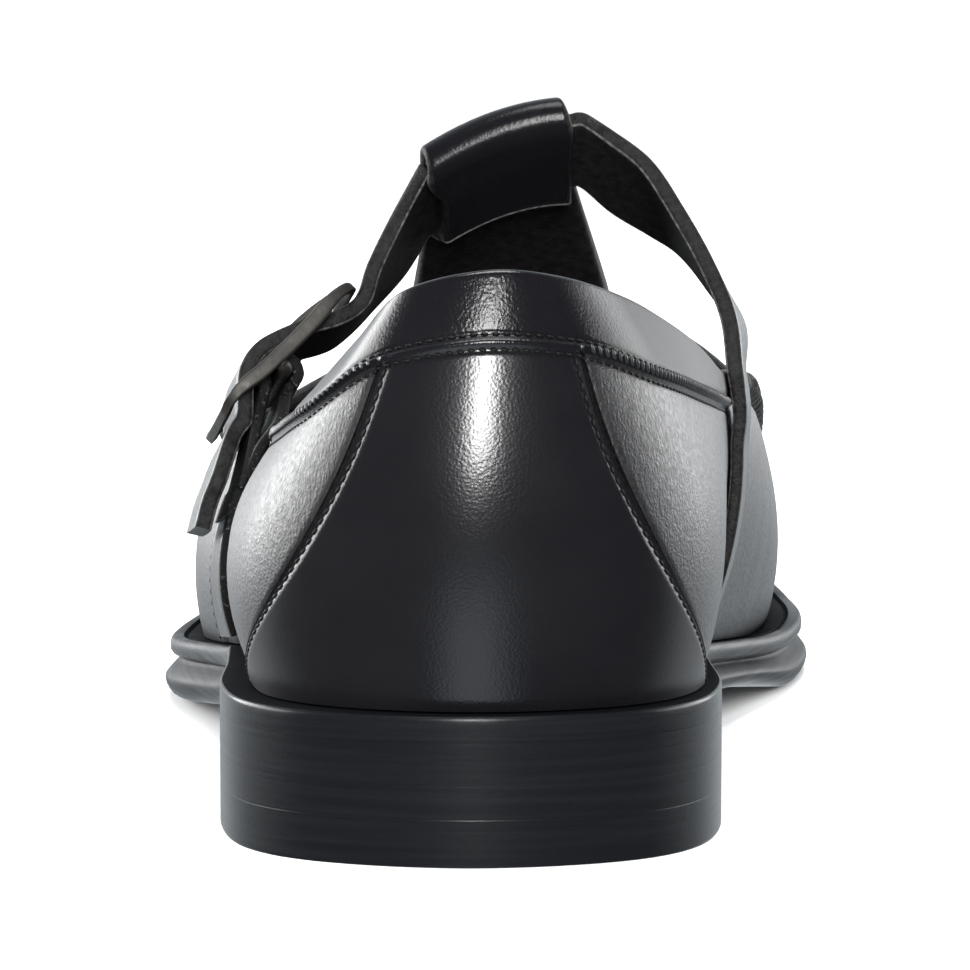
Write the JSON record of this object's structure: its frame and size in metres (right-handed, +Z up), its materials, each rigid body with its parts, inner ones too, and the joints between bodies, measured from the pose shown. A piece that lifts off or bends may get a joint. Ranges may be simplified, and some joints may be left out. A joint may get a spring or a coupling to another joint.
{
  "type": "fisherman sandal",
  "caption": "Left fisherman sandal: closed heel and toe, woven strips with gaps, a T-bar whose loop holds the buckled ankle strap, welted sole and low stacked heel.",
  "frame": {"origin": "on the floor, under the middle of the shoe's bounding box", "axes": "+Y from heel to toe, +X to the medial side, +Z up"},
  "size_m": [0.11, 0.2992, 0.102],
  "materials": {
    "sole_edge": "satin black",
    "welt_leather": "inked black",
    "heel_stack": "stacked layers, inked and waxed black",
    "lining": "matt black",
    "polished_leather": "smooth polished black",
    "strap_leather": "smooth black with dark cut edges",
    "gunmetal": "dark gunmetal, worn bright on its edges"
  },
  "bodies": {
    "root": {"outsole": "sole_edge", "welt": "welt_leather", "heel_block": "heel_stack", "insole": "lining", "upper": "polished_leather", "ankle_strap": "strap_leather", "buckle_strap": "strap_leather", "buckle_frame": "gunmetal", "buckle_prong": "gunmetal"}
  },
  "joints": []
}
